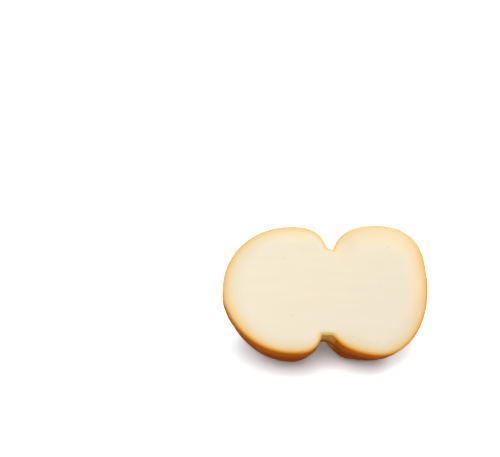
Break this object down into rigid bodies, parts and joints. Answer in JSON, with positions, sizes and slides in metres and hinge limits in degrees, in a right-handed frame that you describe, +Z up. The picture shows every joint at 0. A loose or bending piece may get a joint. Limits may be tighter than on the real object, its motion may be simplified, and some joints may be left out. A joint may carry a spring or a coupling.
{
  "type": "smoked scamorza half",
  "caption": "Half of a smoked stretched-curd cheese tied at the waist, cut lengthwise and leaning back on its rind, with the cut face up.",
  "frame": {"origin": "on the surface that the half rests on, under the middle of its bounding box", "axes": "+X along the cheese from the left lobe to the right lobe, -Y towards the side that the cut face leans to, +Z up"},
  "size_m": [0.1076, 0.0722, 0.0594],
  "materials": {
    "rind": "satin smoked cheese rind, golden brown",
    "paste": "smooth moist ivory cheese paste"
  },
  "bodies": {
    "root": {"scamorza_half": "rind"}
  },
  "joints": []
}
